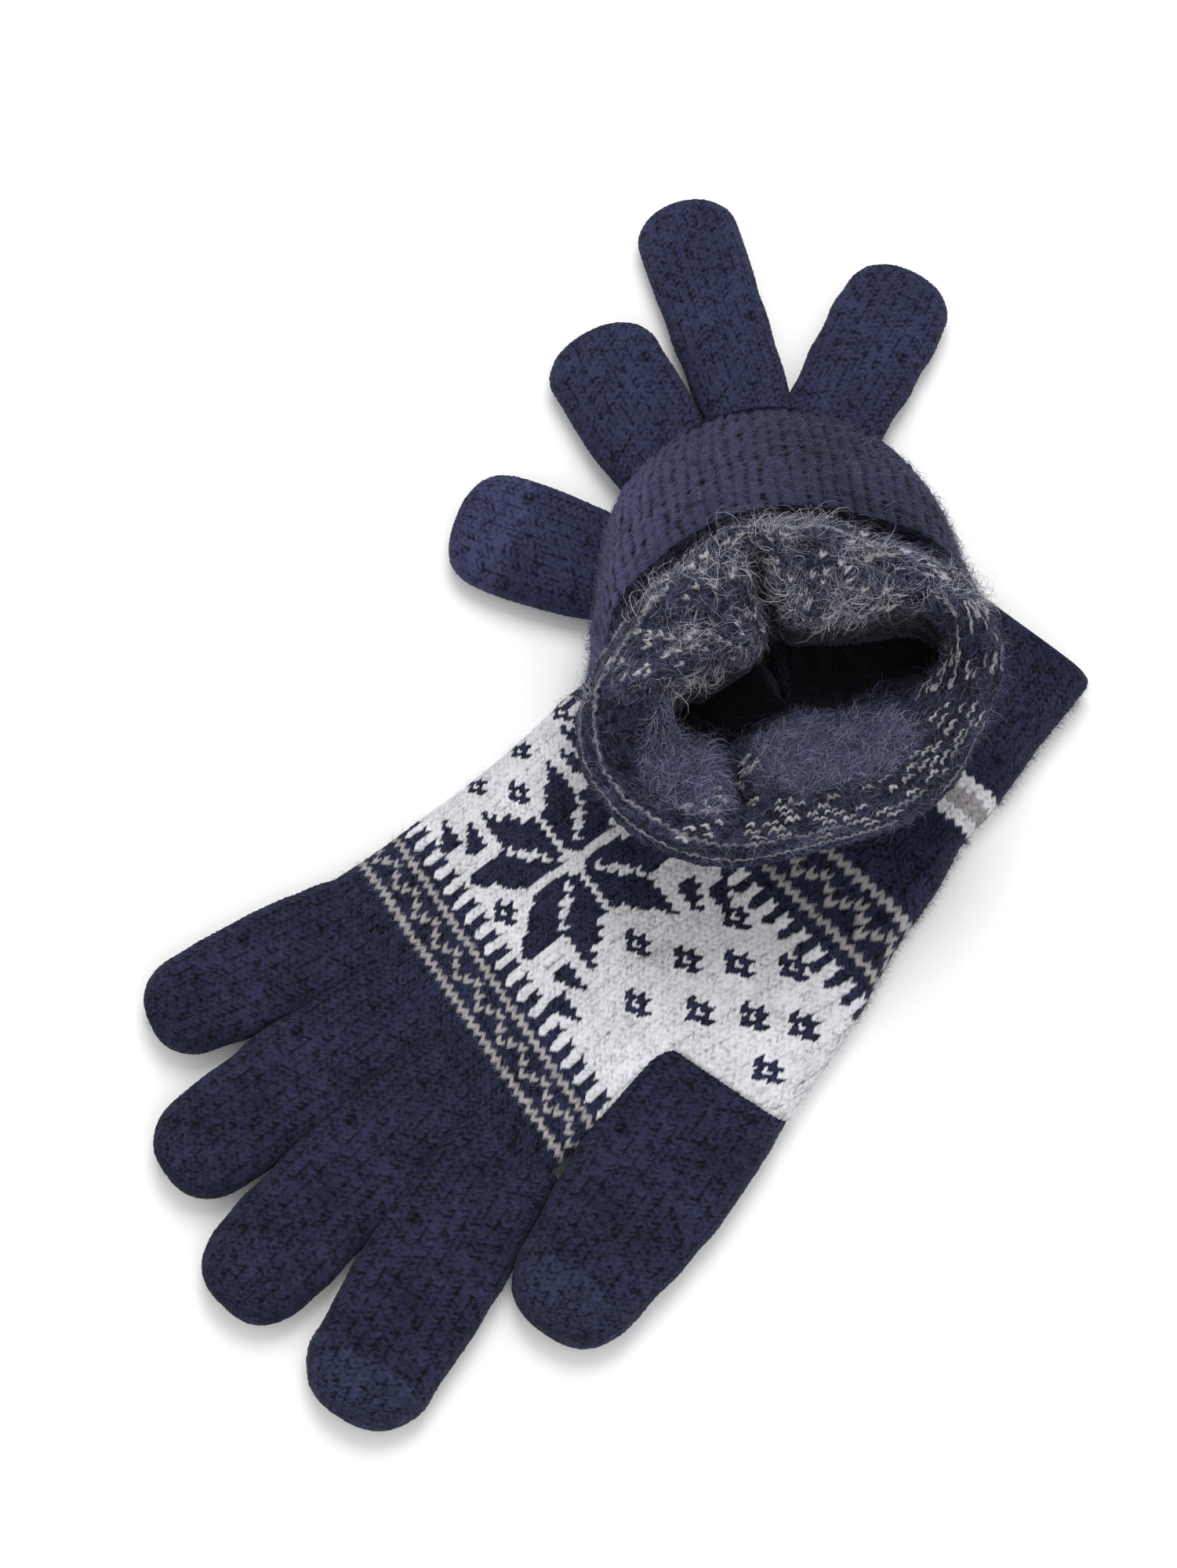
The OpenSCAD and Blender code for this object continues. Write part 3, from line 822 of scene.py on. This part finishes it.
def mouth_surface(k, r):
    """From the rim over the roll (or down the open wall) and along the bottom to the middle."""
    a = 2 * math.pi * k / CUP_WALES
    up = slumped(a)
    run = mixed(table(r, OPEN[0], OPEN[1], 1.5), table(r, ROLL[0], ROLL[1], 1.5), up)
    z = mixed(table(r, OPEN[0], OPEN[2], 1.5), table(r, ROLL[0], ROLL[2], 1.5), up)
    radius = mixed(rim_radius(a), hole_radius(a), run)
    inward = np.clip((r - WALL_COURSES) / (MOUTH_COURSES - WALL_COURSES), 0, 1)
    radius = radius * (1 - inward)
    z = mixed(z, DEEP_Z, inward)
    keep = ramp(1.0, 6.0, r) * mixed(1, 0.3, inward * up)
    x, y = CENTRE[0] + radius * np.cos(a), CENTRE[1] + radius * np.sin(a)
    lump = 1.6 * cloud(x / 13, y / 13, 13.0) + 0.9 * cloud(x / 5, y / 5, 14.0)
    dx, dy = x - CENTRE[0], y - CENTRE[1]
    swell = (3.0 * lumps_at(dx, dy) - 6.0 * crease_at(dx, dy)) * ramp(6, 16, r) * (1 - up)
    valley = 9.0 * fold_at(a, 8.0) * ramp(6, 24, r) * up
    z = z + (lump + swell - valley) * keep * ramp(1.0, 8.0, radius)
    return np.stack([x, y, np.maximum(z, DENT_Z)], -1)


def outside_surface(k, r):
    """Turned-back cuff: hem, swelling side, shoulder, and the groove that parts it from the roll."""
    a = 2 * math.pi * k / RIBS
    up = slumped(a)
    shoulder = OUTSIDE_COURSES * 0.86
    v = np.clip(r / shoulder, 0, 1)
    dip = np.clip((r - shoulder) / (OUTSIDE_COURSES - shoulder), 0, 1)
    fold = tucked(a)
    top = rim_radius(a) + 3.6 * fold - 1.2 * (1 - fold) * up
    reach = v ** 0.9
    x = mixed(BASE[0] + BASE_R * np.cos(a), CENTRE[0] + top * np.cos(a), reach)
    y = mixed(BASE[1] + BASE_R * np.sin(a), CENTRE[1] + top * np.sin(a), reach)
    z = mixed(hem_height(a), mixed(RIM_Z - 1, SHOULDER_Z, up), v)
    swell = np.sin(math.pi * v)
    out = swell * (2.6 * fold + 0.9 * cloud(x / 14, y / 14, 31.0)) - (0.8 + 4.0 * fold) * ramp(0, 1, dip)
    z = z + 2.6 * swell * fold + mixed(1.2, GROOVE_Z - SHOULDER_Z, fold) * dip ** 1.3
    return np.stack([x + out * np.cos(a), y + out * np.sin(a), z], -1)


def skirt_surface(k, r):
    """Bunched knuckles under the hem, down to whatever they rest on."""
    a = 2 * math.pi * k / RIBS
    v = r / SKIRT_COURSES
    z = mixed(hem_height(a) + 1.0, skirt_foot(a), v)
    radius = 43.2 - 4.0 * v + 1.2 * cloud(k / 5, r / 4, 41.0)
    return np.stack([BASE[0] + radius * np.cos(a), BASE[1] + radius * np.sin(a), z], -1)


def wrong_side_chart(w, c):
    """Inside-out jacquard: pale flecks in patches, most of them on the open wall; thin lines by the rim."""
    kind = np.full(w.shape, WRONG)
    turn = w * 360 / CUP_WALES % 360
    patch = np.clip(cloud(w / 7, c / 5, 61.0), 0, 1)
    # the open wall is busy with flecks, apart from a calm stretch over its first lump
    busy = ramp(266, 280, turn) + 1 - ramp(30, 60, turn)
    calm = ramp(205, 225, turn) * (1 - ramp(258, 266, turn))
    crowded = busy > 0.5
    dash = chance(np.floor(w / np.where(crowded, 3, 1)), c, 8.0)
    dash = dash < (0.07 + 0.22 * patch) * (1 - calm) + busy * (0.34 + 0.36 * patch)
    apart = ~crowded | ((c % 2 == 0) & ((w + c // 2) % 3 < 2))
    kind[(c > 5) & (c < np.where(crowded, 24, 40)) & dash & apart] = FLOAT
    for line in (3, 8):
        kind[(c == line) & (chance(np.floor(w / 5), 0 * c, line) < 0.8)] = LINE
    return kind


DIM_HAIR = ((34, 35, 52), (50, 52, 74), (78, 80, 104), (112, 112, 126), (30, 32, 48))
LUMP_HAIR = ((84, 86, 118), (112, 114, 146), (136, 137, 162), (62, 64, 92))
PURPLE_HAIR = ((76, 78, 110), (90, 92, 124), (62, 64, 92), (50, 52, 78))
MIXED_HAIR = ((34, 35, 52), (54, 56, 80), (92, 92, 112), (122, 122, 136), (160, 160, 166), (78, 80, 106))


def hairs(sheet, span, count, length, tones, lift, width, curl=0.9, side=None, clump=-2.0, glow=None):
    """Hairs between two courses: on the slumped (1) or open (0) side, in clumps, or on the soft lumps."""
    where = (sheet.r >= span[0]) & (sheet.r <= span[1]) & (cloud(sheet.k / 5, sheet.r / 6, 71.0) > clump)
    if side is not None:
        up = slumped(2 * math.pi * sheet.k / CUP_WALES)
        where &= (up > 0.97) if side else (up < 0.99)
    if glow is not None:
        dx, dy = sheet.points[..., 0] - CENTRE[0], sheet.points[..., 1] - CENTRE[1]
        where &= lumps_at(dx, dy) * (1 - crease_at(dx, dy)) > glow
    return fibres(sheet, count, length, tones, lift, width, curl, where=where)


def shade_mouth(mouth):
    """Painted shade where little light reaches the hollow under the roll, its folds and the start of the
    groove behind it; on the open wall and the bottom away from the roll, painted light on the soft lumps and
    painted shade off them and along the crease.
    """
    a = 2 * math.pi * mouth.k / CUP_WALES
    fold_way = np.array([math.cos(math.radians(FOLD)), math.sin(math.radians(FOLD))])
    under_roll = (mouth.points[..., :2] - CENTRE) @ fold_way
    dx, dy = mouth.points[..., 0] - CENTRE[0], mouth.points[..., 1] - CENTRE[1]
    glow = lumps_at(dx, dy)
    open_wall = (1 - slumped(a)) * ramp(10, 18, mouth.r)
    open_wall = np.maximum(open_wall, ramp(44, 48, mouth.r) * (1 - ramp(-6.0, 3.0, under_roll)))
    # painted light on the soft lumps, painted shade between them and along the crease
    lit = (0.5 + 2.6 * glow) * (1 - 0.95 * crease_at(dx, dy)) * (1 + 0.3 * cloud(dx / 5, dy / 5, 35.0))
    blotch = 0.4 + 0.75 * ramp(-0.6, 0.5, cloud(mouth.k * 1.3, mouth.r * 1.1, 37.0))
    pale = (mouth.kind == FLOAT) | (mouth.kind == LINE)
    shade = 1 - 0.96 * ramp(-7.0, 4.0, under_roll) * ramp(28, 33, mouth.r)
    shade = shade * np.where(pale, 1.0, mixed(1.0, lit, open_wall))
    shade = shade * np.where(pale, 1.0, mixed(blotch, 1.0, 0.6 * open_wall * np.clip(glow, 0, 1)))
    shade = shade * (1 - 0.6 * (1 - ramp(0.5, 3.5, mouth.r)) * tucked(a))
    shade = shade * (1 - 0.7 * fold_at(a, 7.0) * ramp(8, 20, mouth.r))
    mouth.colour *= shade[..., None]


def shade_outside(outside):
    """Painted light and shade on the turned-back cuff: palest at about 205 degrees, darker from 60 to 145
    degrees, and painted shade where it folds inwards.
    """
    a = 2 * math.pi * outside.k / RIBS
    d = np.degrees(a)
    # painted light from 150 to 245 degrees and painted shade from 60 to 145 degrees, uneven in patches
    light_and_shade = 0.9 + 0.6 * ramp(150, 190, d) * (1 - ramp(225, 245, d))
    light_and_shade = light_and_shade - 0.4 * ramp(60, 85, d) * (1 - ramp(115, 145, d))
    light_and_shade = light_and_shade * (1 + 0.25 * cloud(outside.k / 6, outside.r / 8, 33.0))
    outside.colour *= (light_and_shade * (1 - 0.75 * ramp(23, 26, outside.r) * tucked(a)))[..., None]


def wrist_band_parts(mouth):
    """The rolled lip, its hairs longer and paler on the roll, and softer on the open wall's lumps."""
    return [mouth.part((5, 30)),
            hairs(mouth, (5, 30), 4600, (2, 6), MIXED_HAIR, 0.3, 0.055, 2.0, side=1),
            hairs(mouth, (5, 30), 1300, (3, 8), PALE_HAIR, 0.5, 0.06, 2.4, side=1, clump=0.0),
            hairs(mouth, (4, 30), 4200, (2, 5), DIM_HAIR, 0.35, 0.055, 2.0, side=0),
            hairs(mouth, (8, 30), 3500, (2, 5), LUMP_HAIR, 0.5, 0.07, 2.0, side=0, glow=0.25)]


def hollow_parts(mouth):
    """The wall below the lip and the bottom of the mouth."""
    return [mouth.part((30, 56)),
            hairs(mouth, (30, 54), 3500, (2, 6), LUMP_HAIR, 0.5, 0.07, 2.0, side=0, glow=0.3),
            hairs(mouth, (30, 50), 1200, (2, 6), PURPLE_HAIR, 0.5, 0.05, 2.0, side=0)]


def build_right_hand():
    outside = Sheet(outside_surface, (0, RIBS), (0, OUTSIDE_COURSES), plain(BRUSHED), (8, 5), 1.1,
                    side=1, lumps=0.3, pattern=rib)
    mouth = Sheet(mouth_surface, (0, CUP_WALES), (0, MOUTH_COURSES), wrong_side_chart, (5, 4), 0.9,
                  side=1, lumps=0.7)
    skirt = Sheet(skirt_surface, (0, RIBS), (0, SKIRT_COURSES), plain(FUZZED), (5, 3), 0.7,
                  side=-1, pattern=rib)
    shade_mouth(mouth)
    shade_outside(outside)
    parts = {
        "right_knuckle_section": [skirt.part(flip=True)],
        "right_cuff_welt": [outside.part((0, 4)),
                            hairs(outside, (0, 4), 2200, (1.5, 4), PURPLE_HAIR, 0.4, 0.05)],
        "right_cuff": [outside.part((4, 22)),
                       hairs(outside, (4, 22), 8000, (1.5, 5), PURPLE_HAIR, 0.4, 0.055)],
        "right_cuff_stripe": [outside.part((22, 28)), mouth.part((0, 5)),
                              hairs(mouth, (3, 5), 900, (3, 7), MIXED_HAIR, 0.7, 0.03, 1.6)],
        "right_wrist_band": wrist_band_parts(mouth),
        "right_hand_jacquard": hollow_parts(mouth),
    }
    for name, bits in parts.items():
        slot = "navy_knit" if name == "right_knuckle_section" else "brushed_inside"
        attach(piece(name, bits, slot), "right_hand")


# ---------------------------------------------------------------- studio
def build_floor():
    """A pale sweep of paper under the pair."""
    size, steps = 1.6, 24
    lines = np.linspace(-size, size, steps + 1)
    x, y = np.meshgrid(lines, lines)
    points = np.stack([x, y, 0 * x - 0.0004], -1).reshape(-1, 3)
    quads = grid_quads(0, steps, steps + 1)
    mesh = bpy.data.meshes.new("paper")
    mesh.from_pydata(points.tolist(), [], quads.tolist())
    paper = bpy.data.materials.new("white_paper")
    paper.use_nodes = True
    bsdf = paper.node_tree.nodes["Principled BSDF"]
    bsdf.inputs["Base Color"].default_value = (0.93, 0.93, 0.93, 1)
    bsdf.inputs["Roughness"].default_value = 0.95
    grain = node(paper.node_tree, "ShaderNodeTexNoise")
    grain.inputs["Scale"].default_value = 60
    bump = node(paper.node_tree, "ShaderNodeBump")
    bump.inputs["Strength"].default_value = 0.02
    paper.node_tree.links.new(grain.outputs["Fac"], bump.inputs["Height"])
    paper.node_tree.links.new(bump.outputs["Normal"], bsdf.inputs["Normal"])
    mesh.materials.append(paper)
    floor = bpy.data.objects.new("paper", mesh)
    bpy.context.scene.collection.objects.link(floor)


def area_light(name, place, aim, size, power):
    """Square lamp, its side and place in metres, its power in watts, turned to the aim."""
    lamp = bpy.data.lights.new(name, "AREA")
    lamp.size = size
    lamp.energy = power
    made = bpy.data.objects.new(name, lamp)
    made.location = place
    made.rotation_euler = (Vector(aim) - Vector(place)).to_track_quat("-Z", "Y").to_euler()
    bpy.context.scene.collection.objects.link(made)


VIEW_AZIMUTH, VIEW_ELEVATION = math.radians(39), math.radians(72)
VIEW_DISTANCE = 1.0
FRAME_HEIGHT = 0.384  # metres seen from top to bottom at the aim


def build_studio():
    """White surroundings, two lamps and the photo's camera, aimed at the layout frame's origin."""
    world = bpy.data.worlds.new("soft_white")
    world.use_nodes = True
    world.node_tree.nodes["Background"].inputs["Color"].default_value = (1, 1, 1, 1)
    world.node_tree.nodes["Background"].inputs["Strength"].default_value = 0.75
    bpy.context.scene.world = world
    area_light("key", (-0.35, 0.55, 1.1), (0, 0, 0), 0.7, 9.0)
    area_light("fill", (0.7, -0.5, 0.9), (0, 0, 0), 0.9, 3.0)
    aim = Vector(tuple(SHIFT * 0.001))
    back = Vector((math.sin(VIEW_AZIMUTH) * math.cos(VIEW_ELEVATION),
                   -math.cos(VIEW_AZIMUTH) * math.cos(VIEW_ELEVATION), math.sin(VIEW_ELEVATION)))
    lens = bpy.data.cameras.new("view")
    lens.lens = 36 * VIEW_DISTANCE / FRAME_HEIGHT
    camera = bpy.data.objects.new("view", lens)
    camera.location = aim + back * VIEW_DISTANCE
    camera.rotation_mode = "QUATERNION"
    camera.rotation_quaternion = (-back).to_track_quat("-Z", "Y")
    bpy.context.scene.collection.objects.link(camera)
    bpy.context.scene.camera = camera
    bpy.context.scene.view_settings.view_transform = "Standard"


build_left_hand()
build_left_fingers()
build_right_fingers()
build_right_hand()
build_floor()
build_studio()
